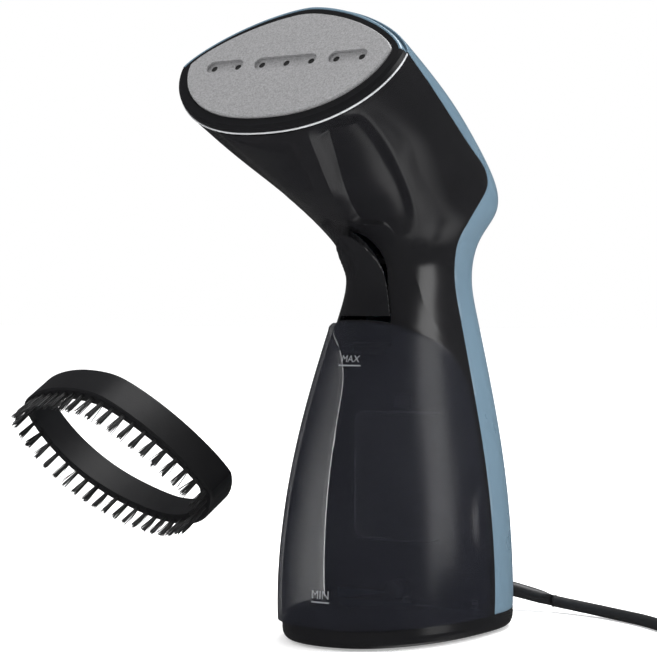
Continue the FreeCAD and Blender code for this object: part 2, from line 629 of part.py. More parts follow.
def make_cord():
    steps = 8
    circles = []
    for k in range(steps + 1):
        t = k / steps
        dia = SLEEVE_ROOT + (CORD + 0.6 - SLEEVE_ROOT) * t
        circles.append(Part.Wire(Part.makeCircle(dia / 2, sleeve_point(t), sleeve_heading(t))))
    level = size("cord_exit_z")
    root = rod(11.0, (0, 52.0, level), (0, 60.0, level)).fuse(rod(14.0, (0, 54.0, level), (0, 56.0, level)))
    add("cord_bushing", Part.makeLoft(circles, True, False).fuse(root))
    lead("power_cord", ROUTE)
    lead("cord_tail", TAIL)
    x, y = COIL_CENTRE
    ring = Part.makeCylinder(COIL_RADIUS + COIL_HALF_WIDTH, COIL_HEIGHT, V(x, y, 0.0))
    ring = ring.cut(Part.makeCylinder(COIL_RADIUS - COIL_HALF_WIDTH, COIL_HEIGHT + 10, V(x, y, -5)))
    edges = [e for e in ring.Edges if isinstance(e.Curve, Part.Circle)]
    add("cord_coil", ring.makeFillet(6.0, edges))
    near, far = y - COIL_RADIUS - COIL_HALF_WIDTH, y - COIL_RADIUS + COIL_HALF_WIDTH
    strap = block((x - 4.0, x + 4.0), (near - 1.5, far + 1.5), (0.0, COIL_HEIGHT + 1.5))
    room = block((x - 10.0, x + 10.0), (near - 0.3, far + 0.3), (-0.5, COIL_HEIGHT + 0.3))
    keep(cut_from("cord_tie", strap, room), "cord_tie")


def make_plug():
    x, y, level = TAIL[-1]
    long, wide, high, neck = 34.0, 25.0, 20.0, 12.0
    body = box((x - neck - long, x - neck), (y - wide / 2, y + wide / 2), (0.0, high))
    body = body.makeFillet(4.0, [e for e in body.Edges if e.Length > high - 1])
    body = body.fuse(Part.makeCone(3.6, 7.0, neck, V(x, y, level), V(-1, 0, 0)))
    add("plug_body", body)
    face = x - neck - long
    blades = []
    for dy in (-6.35, 6.35):
        blades.append(block((face - 17.0, face), (y + dy - 0.75, y + dy + 0.75), (level - 3.1, level + 3.1)))
    keep(group_of("plug_pins", *blades), "plug_pins")


# ---------------------------------------------------------------- brush
BRUSH = FreeCAD.Placement(
    V(-125.0, -48.5, 79.5),
    FreeCAD.Rotation(V(0.953, -0.011, -0.302), V(0.235, -0.612, 0.759), V(-0.196, -0.789, -0.575), "XZY"))
TUFTS = 36


def make_brush():
    depth = size("brush_depth")
    outer = size("brush_half_length") - size("plate_half_width")
    frame = panel_taper([outer - 0.8, outer, outer], [0.0, -0.9, -depth])
    frame = frame.cut(panel_slab(outer - size("brush_wall"), -depth - 2, 2))
    frame = frame.cut(panel_slab(size("rim_margin") + 0.5, -depth - 1, -depth + 3.0))
    add("brush_frame", frame, BRUSH)
    path = panel_outline(outer - size("brush_wall") / 2)
    spots = path.discretize(Number=TUFTS + 1)[:-1]
    tufts = []
    for spot in spots:
        tufts.append(Part.makeCone(1.0, 1.5, size("bristle_len"), spot, V(0, 0, 1)))
    add("brush_bristles", Part.makeCompound(tufts), BRUSH)


make_head_front()
make_boiler()
make_housings()
make_base()
make_tank()
make_controls()
make_pump()
make_screws()
make_cord()
make_plug()
make_brush()
doc.recompute()

os.makedirs("parts", exist_ok=True)
for node in NODES:
    bad = [s for s in node.State if s in ("Invalid", "Error")]
    shape = node.Shape
    if bad or shape.isNull() or not shape.isValid():
        raise RuntimeError("%s is not sound: %s" % (node.Label, bad))
    if shape.Volume <= 0:
        raise RuntimeError("%s has no volume" % node.Label)
    shape.exportStep("parts/%s.step" % node.Label)
    print("%-20s %9.0f mm3 %d solids" % (node.Label, shape.Volume, len(shape.Solids)))
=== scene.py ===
import math
import random

import bmesh
import bpy
import numpy as np
from bpy.props import FloatProperty, FloatVectorProperty, IntProperty, PointerProperty
from mathutils import Matrix, Vector


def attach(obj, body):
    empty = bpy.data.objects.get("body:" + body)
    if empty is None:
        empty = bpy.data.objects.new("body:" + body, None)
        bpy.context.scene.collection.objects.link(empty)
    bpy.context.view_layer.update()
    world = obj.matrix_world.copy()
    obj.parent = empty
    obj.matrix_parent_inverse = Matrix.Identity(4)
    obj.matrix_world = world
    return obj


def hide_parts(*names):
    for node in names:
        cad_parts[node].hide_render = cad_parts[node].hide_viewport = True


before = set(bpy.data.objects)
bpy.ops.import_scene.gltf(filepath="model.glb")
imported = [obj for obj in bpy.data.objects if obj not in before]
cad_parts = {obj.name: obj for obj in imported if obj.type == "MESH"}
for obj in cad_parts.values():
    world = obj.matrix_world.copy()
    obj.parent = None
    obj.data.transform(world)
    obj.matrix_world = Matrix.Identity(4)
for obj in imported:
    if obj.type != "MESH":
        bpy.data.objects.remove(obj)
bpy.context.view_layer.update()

bl_info = {
    "name": "Garment steamer",
    "version": (1, 0, 0),
    "blender": (4, 5, 0),
    "location": "View3D > Sidebar > Steamer",
    "description": "Builds the looks of a handheld garment steamer around its packed frame",
    "category": "Add Mesh",
}

MM = 0.001

# The body's side stations, in millimetres: front y and z, rear y and z, half width, place of the
# widest line between front and rear, then power and root of the front and of the rear half.
STATIONS = [
    (-62.5, 9.0, 62.5, 9.0, 43.5, 0.60, 2.3, 0.44, 2.5, 0.42),
    (-60.5, 40.0, 60.5, 40.0, 43.5, 0.60, 2.3, 0.44, 2.5, 0.42),
    (-54.0, 75.0, 57.5, 75.0, 40.0, 0.60, 2.3, 0.44, 2.5, 0.42),
    (-44.0, 110.0, 54.0, 110.0, 33.5, 0.60, 2.3, 0.45, 2.4, 0.43),
    (-32.0, 141.0, 49.0, 141.0, 27.0, 0.60, 2.2, 0.45, 2.3, 0.44),
    (-26.5, 158.0, 47.0, 161.0, 24.0, 0.60, 2.2, 0.46, 2.2, 0.46),
    (-29.0, 171.0, 50.0, 179.0, 27.5, 0.60, 2.1, 0.48, 2.1, 0.48),
    (-37.0, 180.0, 56.0, 193.0, 36.0, 0.60, 2.0, 0.50, 2.0, 0.50),
    (-49.0, 187.0, 51.0, 208.0, 41.0, 0.59, 2.0, 0.50, 2.0, 0.52),
    (-67.0, 195.0, 27.5, 228.0, 45.5, 0.58, 2.0, 0.51, 1.9, 0.55),
    (-83.5, 205.5, -8.5, 247.5, 52.5, 0.57, 2.1, 0.53, 1.8, 0.60),
    (-98.0, 213.5, -46.0, 268.0, 55.5, 0.57, 2.2, 0.55, 1.7, 0.68),
    (-104.0, 219.5, -64.0, 275.0, 57.0, 0.577, 2.3, 0.56, 1.6, 0.74),
]
# Joint between the dark front and the rear cover, and top and back of the water tank, as y and z.
SEAM = [(16.0, 0.0), (15.2, 20.0), (14.2, 60.0), (13.9, 100.0), (13.9, 140.0), (13.5, 158.0), (11.6, 169.5),
        (8.4, 179.0), (6.8, 186.5), (8.4, 193.5), (12.4, 200.5), (12.8, 205.6), (9.0, 210.2), (-2.5, 215.0),
        (-26.4, 223.7), (-47.0, 232.8), (-64.1, 242.3), (-79.8, 250.9), (-93.0, 258.6)]
TANK_TOP = [(-75.0, 141.6), (-45.0, 141.4), (-31.0, 140.6), (-24.0, 138.4), (-15.5, 135.0), (-5.0, 129.6),
            (2.0, 122.5), (6.4, 113.0), (7.2, 103.0)]
# Trigger outline as half width and z, and its front profile as y and z.
TRIGGER_EDGE = [(14.3, 141.0), (13.9, 144.0), (12.4, 150.0), (10.9, 157.0), (10.7, 163.0), (9.6, 169.5),
                (6.2, 175.8), (0.0, 179.2)]
TRIGGER_FRONT = [(-31.5, 141.5), (-28.5, 150.0), (-27.0, 157.0), (-29.6, 163.5), (-34.3, 169.0),
                 (-40.0, 175.0), (-44.8, 181.0), (-48.5, 186.5)]
# Outer edge of the hollow that frames the trigger, as half width and z.
HOLLOW_EDGE = [(0.0, 184.9), (7.6, 186.4), (10.9, 185.4), (13.2, 182.3), (15.1, 178.3), (16.6, 171.8),
               (17.9, 163.9), (19.5, 156.0), (21.5, 149.0), (24.5, 141.0)]
# Flank scoop of the head: outer and inner line of its bright facet, and its far side, as x, y, z.
FACET_OUTER = [(21.3, -101.0, 219.5), (5.0, -45.4, 186.6), (12.1, -38.0, 184.0), (17.0, -25.6, 177.9)]
FACET_INNER = [(29.3, -98.2, 220.9), (8.5, -45.1, 187.0), (12.9, -37.9, 184.4), (17.6, -25.4, 177.9)]
SCOOP_SIDE = [(38.2, -94.0, 224.0), (38.1, -87.3, 220.5), (37.0, -74.9, 214.0), (34.4, -61.6, 206.7),
              (30.5, -46.0, 197.5), (26.4, -34.4, 189.5), (22.6, -26.7, 183.0), (19.6, -24.3, 178.7)]
HEAD_TILT = math.radians(54.4)
HEAD_PLACE = Vector((0.0, -86.5, 250.5))
HEAD_BACK = -5.0
# The cord's free runs either side of its coil.
CORD_RUN = [(34.0, 91.0, 5.4), (52.0, 90.0, 3.7), (71.0, 84.0, 2.9), (89.0, 75.0, 2.9), (105.0, 63.0, 2.9),
            (118.0, 50.0, 2.9), (131.0, 38.5, 2.9)]
CORD_TAIL = [(181.0, 74.0, 8.0), (184.0, 92.0, 4.4), (184.0, 110.0, 3.4), (178.0, 126.0, 4.5),
             (165.0, 137.0, 7.0), (150.0, 142.0, 10.0)]


# ------------------------------------------------------------------ settings
class BodySettings(bpy.types.PropertyGroup):
    """Sizes and colours of the housings, the tank and the trigger."""

    shell_colour: FloatVectorProperty(
        name="Rear cover", description="Colour of the rear cover", subtype="COLOR",
        default=(0.105, 0.165, 0.215))
    dark_colour: FloatVectorProperty(
        name="Front housing", description="Colour of the glossy dark parts", subtype="COLOR",
        default=(0.0075, 0.0075, 0.0085))
    smoke_colour: FloatVectorProperty(
        name="Tank", description="Colour of the smoke-tinted tank", subtype="COLOR",
        default=(0.0125, 0.0135, 0.019))
    plate_colour: FloatVectorProperty(
        name="Steam plate", description="Colour of the cast plate", subtype="COLOR",
        default=(0.235, 0.235, 0.24))
    wall: FloatProperty(name="Wall", description="Wall of the housings", unit="LENGTH", default=0.0022)
    tank_wall: FloatProperty(name="Tank wall", description="Wall of the tank", unit="LENGTH", default=0.0020)
    gap: FloatProperty(
        name="Joint gap", description="Gap between two housings", unit="LENGTH", default=0.0003)
    bay_wall: FloatProperty(
        name="Bay wall", description="Wall behind the tank", unit="LENGTH", default=0.0009)
    rows: IntProperty(name="Rows", description="Rows of faces between two stations", default=20)
    columns: IntProperty(name="Columns", description="Columns of faces round the body", default=208)
    tank_clearness: FloatProperty(
        name="Tank clearness", description="Share of light that one tank face lets through", default=0.5)


class CordSettings(bpy.types.PropertyGroup):
    """Sizes and colour of the mains cord."""

    diameter: FloatProperty(
        name="Diameter", description="Diameter of the cord", unit="LENGTH", default=0.0056)
    colour: FloatVectorProperty(
        name="Colour", description="Colour of the cord", subtype="COLOR", default=(0.012, 0.012, 0.013))
    coil_radius: FloatProperty(
        name="Coil radius", description="Middle radius of the coil", unit="LENGTH", default=0.0309)
    pitch: FloatProperty(
        name="Strand pitch", description="Distance between strands in the coil", unit="LENGTH",
        default=0.0059)


class BrushSettings(bpy.types.PropertyGroup):
    """Bristles of the brush attachment."""

    tufts: IntProperty(name="Tufts", description="Tufts round the brush", default=44)
    fibres: IntProperty(name="Fibres", description="Fibres in a tuft", default=26)
    length: FloatProperty(
        name="Bristle length", description="Length of the bristles", unit="LENGTH", default=0.0112)


# ------------------------------------------------------------------ curves and fields, in millimetres
def curve_through(values):
    """A smooth curve through the values at 0, 1, 2 and so on; the four nearest values set an end's slope."""
    y = np.asarray(values, float)
    n = len(y)
    a, b = np.zeros((n, n)), np.zeros(n)
    for i in range(1, n - 1):
        a[i, i - 1:i + 2] = (1, 4, 1)
        b[i] = 6 * (y[i - 1] - 2 * y[i] + y[i + 1])
    a[0, :2], a[-1, -2:] = (2, 1), (1, 2)
    b[0] = 6 * (y[1] - y[0] - (-11 * y[0] + 18 * y[1] - 9 * y[2] + 2 * y[3]) / 6)
    b[-1] = 6 * ((11 * y[-1] - 18 * y[-2] + 9 * y[-3] - 2 * y[-4]) / 6 - y[-1] + y[-2])
    m = np.linalg.solve(a, b)

    def at(t):
        i = np.clip(np.floor(t).astype(int), 0, n - 2)
        u = t - i
        return (1 - u) * y[i] + u * y[i + 1] + ((1 - u) ** 3 - 1 + u) * m[i] / 6 + (u ** 3 - u) * m[i + 1] / 6

    return at


TRACKS = [curve_through(column) for column in zip(*STATIONS)]


def skin(t, angle, inset=0.0):
    """Points on the body: t counts along the stations, angle turns from +X through the front."""
    fy, fz, ry, rz, width, place, front_power, front_root, rear_power, rear_root = (
        track(np.asarray(t, float)) for track in TRACKS)
    front = np.sin(angle) >= 0
    power, root = np.where(front, front_power, rear_power), np.where(front, front_root, rear_root)
    rise = np.maximum(0.0, 1 - np.abs(np.cos(angle)) ** power) ** root
    span = np.hypot(ry - fy, rz - fz)
    depth = np.where(front, -(place * span - inset), (1 - place) * span - inset) * rise
    share = place + depth / span
    return np.stack([(width - inset) * np.cos(angle), fy + share * (ry - fy), fz + share * (rz - fz)], -1)


def dense(points, steps=12):
    """More points on a smooth curve through the given ones."""
    points = np.asarray(points, float)
    t = np.linspace(0, len(points) - 1, (len(points) - 1) * steps + 1)
    return np.stack([curve_through(column)(t) for column in points.T], -1)


def side_of(points, line):
    """Signed distance of 2-D points to an open line: positive on the left of its direction."""
    points, line = np.asarray(points, float), np.asarray(line, float)
    start, step = line[:-1], np.diff(line, axis=0)
    best, side = np.full(len(points), np.inf), np.zeros(len(points))
    last = len(step) - 1
    for k, (a, d) in enumerate(zip(start, step)):
        rel = points - a
        along = rel @ d / (d @ d)
        low, high = (-np.inf if k == 0 else 0.0), (np.inf if k == last else 1.0)
        along = np.clip(along, low, high)
        off = rel - along[:, None] * d
        dist = np.hypot(off[:, 0], off[:, 1])
        near = dist < best
        best[near] = dist[near]
        side[near] = np.sign(d[0] * rel[near, 1] - d[1] * rel[near, 0])
    return best * side


def ease(t):
    t = np.clip(t, 0.0, 1.0)
    return t * t * (3 - 2 * t)


SEAM_LINE, TANK_LINE = dense(SEAM), dense(TANK_TOP + [(7.2, 90.0), (7.2, 5.0)])
HOLLOW_LINE, TRIGGER_LINE = dense(HOLLOW_EDGE), dense(TRIGGER_EDGE)


def behind_seam(p):
    return -side_of(p[:, 1:], SEAM_LINE)


def in_tank(p):
    return -side_of(p[:, 1:], TANK_LINE)


def behind_rim(p):
    """Distance behind the plane where the housings meet the rim of the head."""
    out = -math.sin(HEAD_TILT) * (p[:, 1] - HEAD_PLACE.y) + math.cos(HEAD_TILT) * (p[:, 2] - HEAD_PLACE.z)
    return HEAD_BACK - out


def front_view(p):
    return np.stack([np.abs(p[:, 0]), p[:, 2]], -1)


def outside_trigger(p, room=0.0):
    """Distance outside the trigger's outline, seen from the front; rear points are far outside."""
    apart = -side_of(front_view(p), TRIGGER_LINE) - room
    return np.where(p[:, 1] > 5.0, 50.0, apart)


# ------------------------------------------------------------------ mesh tools
def places(bm):
    return np.array([v.co for v in bm.verts]) / MM


def body_form(rows, columns, first=0.0, last=len(STATIONS) - 1.0, inset=0.0):
    """The whole body as an open tube of faces, made ring by ring."""
    bm = bmesh.new()
    slot = bm.verts.layers.int.new("column")
    made = bmesh.ops.create_circle(bm, segments=columns, radius=1.0)["verts"]
    for k, vert in enumerate(made):
        vert[slot] = k
    angle = np.linspace(0, 2 * math.pi, columns, endpoint=False)
    ring, edges = list(made), list(bm.edges)
    for row, t in enumerate(np.linspace(first, last, rows + 1)):
        if row:
            fresh = bmesh.ops.extrude_edge_only(bm, edges=edges)["geom"]
            ring = [g for g in fresh if isinstance(g, bmesh.types.BMVert)]
            own = set(ring)
            edges = [g for g in fresh if isinstance(g, bmesh.types.BMEdge) and set(g.verts) <= own]
        for vert, place in zip(sorted(ring, key=lambda v: v[slot]), skin(t, angle, inset) * MM):
            vert.co = place
    bmesh.ops.recalc_face_normals(bm, faces=bm.faces[:])
    return bm


def divide(bm, field):
    """Cut the faces along the line where the field is zero, and return the vertices on it."""
    bm.verts.index_update()
    value = field(places(bm))
    for edge in bm.edges:
        a, b = edge.verts
        fa, fb = value[a.index], value[b.index]
        if fa * fb < 0:
            share = fa / (fa - fb)
            if share < 0.2:
                a.co, value[a.index] = a.co.lerp(b.co, share), 0.0
            elif share > 0.8:
                b.co, value[b.index] = a.co.lerp(b.co, share), 0.0
    on_line = [v for v in bm.verts if value[v.index] == 0.0]
    crossed = []
    for edge in bm.edges:
        a, b = edge.verts
        fa, fb = value[a.index], value[b.index]
        if fa * fb < 0:
            crossed.append((edge, a, fa / (fa - fb)))
    for edge, a, share in crossed:
        on_line.append(bmesh.utils.edge_split(edge, a, share)[1])
    bmesh.ops.connect_verts(bm, verts=on_line)
    return on_line


def keep(bm, field):
    """Cut along the field's zero line and drop the faces on its negative side."""
    divide(bm, field)
    middles = np.array([f.calc_center_median() for f in bm.faces]) / MM
    value = field(middles)
    gone = [f for f, v in zip(bm.faces, value) if v < 0]
    bmesh.ops.delete(bm, geom=gone, context="FACES")
    return bm


def roll_rim(bm, depth=0.35):
    """Turn the open edges slightly inwards so that they catch the light as moulded edges do."""
    bm.normal_update()
    rim = [v for v in bm.verts if v.is_boundary]
    for vert, move in [(v, v.normal * -depth * MM) for v in rim]:
        vert.co += move


def press(bm, depth):
    """Move each vertex inwards by its own depth in millimetres."""
    bm.normal_update()
    bm.verts.index_update()
    moves = [(v, v.normal * -float(d) * MM) for v, d in zip(bm.verts, depth) if abs(d) > 1e-6]
    for vert, move in moves:
        vert.co += move


def finish_piece(bm, name, material, body, replaces=(), smooth=True):
    mesh = bpy.data.meshes.new(name)
    for face in bm.faces:
        face.smooth = smooth
    bm.to_mesh(mesh)
    bm.free()
    piece = bpy.data.objects.new(name, mesh)
    bpy.context.scene.collection.objects.link(piece)
    mesh.materials.append(material)
    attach(piece, body)
    if replaces:
        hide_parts(*replaces)
    return piece


def thicken(piece, wall, split=35.0):
    solid = piece.modifiers.new("wall", "SOLIDIFY")
    solid.thickness, solid.offset, solid.use_even_offset = wall, -1.0, False
    crease = piece.modifiers.new("crisp edges", "EDGE_SPLIT")
    crease.split_angle = math.radians(split)


def half_width(y, z):
    """Half the body's width at the heights and depths y, z of its side view."""
    t = np.linspace(0, len(STATIONS) - 1, 481)
    fy, fz, ry, rz, width, place, fp, fr, rp, rr = (track(t) for track in TRACKS)
    wide = []
    for py, pz in zip(np.atleast_1d(y), np.atleast_1d(z)):
        off = (py - fy) * (rz - fz) - (pz - fz) * (ry - fy)
        k = int(np.argmin(np.abs(off) / np.hypot(ry - fy, rz - fz) + (np.hypot(py - fy, pz - fz) > 190) * 99))
        span = math.hypot(ry[k] - fy[k], rz[k] - fz[k])
        share = ((py - fy[k]) * (ry[k] - fy[k]) + (pz - fz[k]) * (rz[k] - fz[k])) / span ** 2
        if share < place[k]:
            rise, power, root = (place[k] - share) / place[k], fp[k], fr[k]
        else:
            rise, power, root = (share - place[k]) / (1 - place[k]), rp[k], rr[k]
        rise = min(max(rise, 0.0), 1.0)
        wide.append(width[k] * max(0.0, 1 - rise ** (1 / root)) ** (1 / power))
    return np.array(wide)


# ------------------------------------------------------------------ materials
def shader(name, **sockets):
    material = bpy.data.materials.new(name)
    material.use_nodes = True
    surface = material.node_tree.nodes["Principled BSDF"]
    for socket, value in sockets.items():
        surface.inputs[socket.replace("_", " ")].default_value = value
    return material, surface


def texture(material, kind, scale, stretch=(1.0, 1.0, 1.0), coordinates="Object", **settings):
    nodes, links = material.node_tree.nodes, material.node_tree.links
    source = nodes.new("ShaderNodeTexCoord")
    mapping = nodes.new("ShaderNodeMapping")
    mapping.inputs["Scale"].default_value = stretch
    pattern = nodes.new(kind)
    pattern.inputs["Scale"].default_value = scale
    for socket, value in settings.items():
        pattern.inputs[socket].default_value = value
    links.new(source.outputs[coordinates], mapping.inputs["Vector"])
    links.new(mapping.outputs["Vector"], pattern.inputs["Vector"])
    return pattern


def spread(material, output, low, high, into, low_in=0.3, high_in=0.7):
    """Send a pattern to a socket, its values mapped to the range from low to high."""
    ranged = material.node_tree.nodes.new("ShaderNodeMapRange")
    for socket, value in (("From Min", low_in), ("From Max", high_in), ("To Min", low), ("To Max", high)):
        ranged.inputs[socket].default_value = value
    material.node_tree.links.new(output, ranged.inputs["Value"])
    material.node_tree.links.new(ranged.outputs["Result"], into)
    return ranged


def tint(material, output, dark, light, into, low=0.3, high=0.7):
    """Colour that runs from dark to light along a pattern."""
    ramp = material.node_tree.nodes.new("ShaderNodeValToRGB")
    ramp.color_ramp.elements[0].position, ramp.color_ramp.elements[1].position = low, high
    ramp.color_ramp.elements[0].color, ramp.color_ramp.elements[1].color = (*dark, 1), (*light, 1)
    material.node_tree.links.new(output, ramp.inputs["Fac"])
    material.node_tree.links.new(ramp.outputs["Color"], into)


def relief(material, surface, output, height, strength=1.0):
    bump = material.node_tree.nodes.new("ShaderNodeBump")
    bump.inputs["Distance"].default_value, bump.inputs["Strength"].default_value = height, strength
    material.node_tree.links.new(output, bump.inputs["Height"])
    material.node_tree.links.new(bump.outputs["Normal"], surface.inputs["Normal"])


def scaled(colour, factor):
    return tuple(channel * factor for channel in colour)


def moulded(name, colour, roughness, specular=0.5, peel=0.00002, vary=0.08):
    """Injection-moulded plastic: a trace of orange peel, and slight changes of tone and gloss."""
    material, surface = shader(name, Specular_IOR_Level=specular)
    cloud = texture(material, "ShaderNodeTexNoise", 45.0, Detail=3.0)
    tint(material, cloud.outputs["Fac"], scaled(colour, 1 - vary), scaled(colour, 1 + vary),
         surface.inputs["Base Color"])
    spread(material, cloud.outputs["Fac"], roughness * 0.9, roughness * 1.1, surface.inputs["Roughness"])
    skin_noise = texture(material, "ShaderNodeTexNoise", 1400.0, Detail=2.0)
    relief(material, surface, skin_noise.outputs["Fac"], peel)
    return material


def cast_metal(name, colour):
    """Cast plate with a coarse sand-like grain."""
    material, surface = shader(name, Metallic=0.25, Specular_IOR_Level=0.35)
    grain = texture(material, "ShaderNodeTexNoise", 1250.0, Detail=4.0, Roughness=0.75)
    tint(material, grain.outputs["Fac"], scaled(colour, 0.72), scaled(colour, 1.3),
         surface.inputs["Base Color"], 0.34, 0.66)
    spread(material, grain.outputs["Fac"], 0.5, 0.7, surface.inputs["Roughness"])
    relief(material, surface, grain.outputs["Fac"], 0.00012, 0.6)
    return material


def metal(name, colour, roughness, stretch=(1.0, 1.0, 12.0), metallic=1.0):
    material, surface = shader(name, Metallic=metallic)
    lines = texture(material, "ShaderNodeTexNoise", 300.0, stretch, Detail=3.0)
    tint(material, lines.outputs["Fac"], scaled(colour, 0.85), scaled(colour, 1.1),
         surface.inputs["Base Color"])
    spread(material, lines.outputs["Fac"], roughness * 0.8, roughness * 1.3, surface.inputs["Roughness"])
    return material


def smoke(name, colour, clearness, roughness=0.06):
    """Tinted clear plastic: darker where it is seen edge on, with soft clouding."""
    material, surface = shader(name, Specular_IOR_Level=0.4, IOR=1.5)
    cloud = texture(material, "ShaderNodeTexNoise", 30.0, Detail=2.0)
    tint(material, cloud.outputs["Fac"], scaled(colour, 0.92), scaled(colour, 1.08),
         surface.inputs["Base Color"])
    spread(material, cloud.outputs["Fac"], roughness * 0.9, roughness * 1.1, surface.inputs["Roughness"])
    edge = material.node_tree.nodes.new("ShaderNodeLayerWeight")
    edge.inputs["Blend"].default_value = 0.25
    spread(material, edge.outputs["Facing"], 1 - clearness, 0.92, surface.inputs["Alpha"], 0.15, 0.6)
    return material


def rubber(name, colour, roughness=0.55):
    material, surface = shader(name, Specular_IOR_Level=0.35)
    grain = texture(material, "ShaderNodeTexNoise", 900.0, Detail=3.0)
    tint(material, grain.outputs["Fac"], scaled(colour, 0.8), scaled(colour, 1.25),
         surface.inputs["Base Color"])
    spread(material, grain.outputs["Fac"], roughness * 0.9, roughness * 1.1, surface.inputs["Roughness"])
    relief(material, surface, grain.outputs["Fac"], 0.00003)
    return material


MATERIALS = {}


def make_materials(settings):
    dark = settings.dark_colour
    MATERIALS.update(
        shell=moulded("shell plastic", settings.shell_colour, 0.3, 0.45, peel=0.000012, vary=0.03),
        dark=moulded("dark gloss plastic", dark, 0.2, 0.4, peel=0.000003),
        rim=moulded("rim plastic", scaled(dark, 0.9), 0.3, 0.25, peel=0.000006),
        soft_black=moulded("soft black plastic", scaled(dark, 1.0), 0.42, 0.25, peel=0.00003),
        smoke=smoke("smoke clear plastic", settings.smoke_colour, settings.tank_clearness, 0.24),
        smoke_inner=smoke("smoke inner wall", settings.smoke_colour, 0.84, 0.2),
        # The tank pocket's smoke plastic is far lighter than the tank's: painted highlight that shows the
        # pocket's edges through the dark tank.
        smoke_edge=smoke("smoke pocket painted highlight", (0.30, 0.31, 0.35), 0.9, 0.2),
        plate=cast_metal("cast plate", settings.plate_colour),
        silver=metal("silver trim", (0.62, 0.63, 0.65), 0.3, metallic=0.35),
        steel=metal("steel", (0.55, 0.55, 0.56), 0.28),
        brass=metal("brass", (0.66, 0.47, 0.20), 0.3),
        copper=metal("enamelled copper", (0.55, 0.22, 0.10), 0.35, (1.0, 1.0, 60.0)),
        boiler=cast_metal("die-cast metal", (0.45, 0.45, 0.46)),
        chamber=cast_metal("dark coated metal", (0.02, 0.02, 0.02)),
        pad=rubber("anti-slip rubber", (0.02, 0.02, 0.021)),
        cord=rubber("cord rubber", bpy.context.scene.steamer_cord.colour, 0.45),
        silicone=rubber("milky silicone", (0.62, 0.62, 0.58), 0.5),
        inner=moulded("inner plastic", (0.55, 0.55, 0.53), 0.45),
        board=moulded("circuit board", (0.01, 0.09, 0.04), 0.35),
        mark=moulded("printed marks", (0.80, 0.82, 0.85), 0.6),
        lens=smoke("clear lens", (0.6, 0.75, 0.9), 0.5),
        bristle=moulded("bristle fibre", (0.02, 0.02, 0.021), 0.35, 0.5),
    )


CAD_FINISH = {
    "plate": ["steam_plate"],
    "rim": ["head_bezel"],
    "silver": ["trim_ring"],
    "boiler": ["boiler_block"],
    "chamber": ["steam_chamber"],
    "steel": ["heating_element", "thermostat", "boiler_screws", "trigger_spring", "pump_yoke",
              "pump_plunger", "pump_spring", "cover_screws", "plug_pins"],
    "brass": ["pump_barrel"],
    "copper": ["pump_coil"],
    "silicone": ["plate_gasket", "suction_hose", "steam_feed_hose"],
    "inner": ["thermal_fuse", "water_nipple"],
    "pad": ["base_pad", "tank_filler_bung", "tank_outlet_seal", "tank_strainer"],
    "soft_black": ["micro_switch", "tank_catch", "catch_bar", "button_switch", "brush_frame",
                   "trigger_pin"],
    "dark": ["base_cover", "power_button"],
    "lens": ["indicator_lens", "indicator_lamp"],
    "board": ["circuit_board"],
    "cord": ["cord_bushing", "plug_body", "cord_tie"],
}


def dress_frame():
    for finish, nodes in CAD_FINISH.items():
        for node in nodes:
            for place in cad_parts[node].material_slots:
                place.material = MATERIALS[finish]


# ------------------------------------------------------------------ housings
def scoop_axes():
    """A flat frame for the flank scoop: its origin, its long axis, the axis across it and its normal."""
    points = np.array(FACET_INNER + SCOOP_SIDE)
    normal = np.linalg.svd(points - points.mean(axis=0))[2][2]
    normal *= np.sign(normal[0])
    origin = np.array(FACET_OUTER[0])
    along = np.array(FACET_OUTER[1]) - origin
    along -= normal * (along @ normal)
    along /= np.linalg.norm(along)
    across = np.cross(normal, along)
    return origin, along, across * np.sign(across @ (np.array(SCOOP_SIDE[3]) - origin)), normal


SCOOP = scoop_axes()


def in_scoop(points):
    """Place along and across the scoop and above its flat frame; the left flank folds on to the right."""
    origin, along, across, normal = SCOOP
    rel = np.column_stack([np.abs(points[:, 0]), points[:, 1:]]) - origin
    return rel @ along, rel @ across, rel @ normal


def scoop_line(points):
    along, across, _ = in_scoop(np.array(points))
    return np.stack([along, across], -1)


LINE_OUTER, LINE_INNER, LINE_SIDE = (dense(scoop_line(p), 8) for p in (FACET_OUTER, FACET_INNER, SCOOP_SIDE))


def across_at(line, along):
    order = np.argsort(line[:, 0])
    return np.interp(along, line[order, 0], line[order, 1])


def scoop_depth(points):
    """How far the flank scoop cuts into the body: a flat facet, a floor and a soft rise to the far side."""
    along, across, high = in_scoop(points)
    outer, inner, side = (across_at(line, along) for line in (LINE_OUTER, LINE_INNER, LINE_SIDE))
    turn, end = LINE_OUTER[8, 0], LINE_INNER[-1, 0]
    deepest = np.interp(along, [-4.0, 6.0, turn - 6.0, turn + 4.0, end], [0.0, 3.8, 2.6, 1.9, 0.0])
    facet = np.clip((across - outer) / np.maximum(inner - outer, 0.5), 0.0, 1.0)
    floor = 1 - 0.3 * np.clip((across - inner) / np.maximum(side - inner, 0.5), 0.0, 1.0)
    rise = 1 - ease((across - side) / 5.0)
    depth = deepest * np.minimum(facet, floor * rise)
    return np.where((high < 25) & (high > -25) & (along < end), depth, 0.0)


def scoop_room(points):
    """Whether a point lies along the flank scoop, on the body's underside."""
    along, _, high = in_scoop(points)
    return (high < 12) & (high > -12) & (along > -4) & (along < LINE_INNER[-1, 0])


def scoop_edge(line):
    def field(points):
        along, across, _ = in_scoop(points)
        return side_of(np.stack([along, across], -1), line)
    return field


